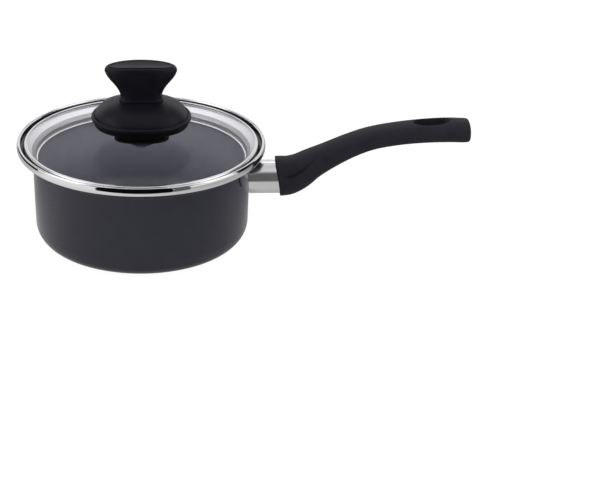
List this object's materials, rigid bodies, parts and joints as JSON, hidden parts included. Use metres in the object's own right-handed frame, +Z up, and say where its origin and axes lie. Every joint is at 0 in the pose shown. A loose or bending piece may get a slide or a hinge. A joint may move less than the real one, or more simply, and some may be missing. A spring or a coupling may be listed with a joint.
{
  "type": "saucepan with glass lid",
  "caption": "Enamelled round saucepan with a rolled steel rim, a rising side handle and a lift-off glass lid with a flared knob.",
  "frame": {"origin": "centre of the pan's flat base, on the surface that it stands on", "axes": "+Z up along the pan's axis, +X from the pan's axis out along the handle, +Y across the handle"},
  "size_m": [0.3428, 0.187, 0.1392],
  "materials": {
    "enamel": "glossy vitreous enamel, charcoal grey, on pressed steel",
    "stainless_polished": "mirror-polished stainless steel",
    "bracket_steel": "plain stamped steel",
    "screw_steel": "plain stainless fasteners",
    "phenolic_satin": "moulded phenolic resin, satin black",
    "phenolic_matte": "moulded phenolic resin, matte black",
    "lid_glass": "clear tempered glass",
    "silicone": "black silicone seal",
    "brass": "knurled brass insert"
  },
  "bodies": {
    "pan": {"pan_base": "enamel", "pan_wall": "enamel", "rim_ring": "stainless_polished", "handle_bracket": "bracket_steel", "handle_ferrule": "stainless_polished", "handle_grip": "phenolic_satin", "handle_screw": "screw_steel", "handle_washer": "screw_steel"},
    "lid": {"lid_glass": "lid_glass", "lid_band": "stainless_polished", "lid_skirt": "stainless_polished", "vent_eyelet": "stainless_polished", "screw_sleeve": "silicone", "knob_gasket": "silicone", "knob_base": "phenolic_matte", "knob_flange": "phenolic_satin", "knob_grip": "phenolic_satin", "knob_insert": "brass", "knob_screw": "screw_steel", "knob_washer": "screw_steel", "under_gasket": "silicone"}
  },
  "joints": [
    {"name": "lid_lift", "type": "slide", "parent": "pan", "child": "lid", "axis": [0, 0, 1], "range_m": [0, 0.15]}
  ]
}
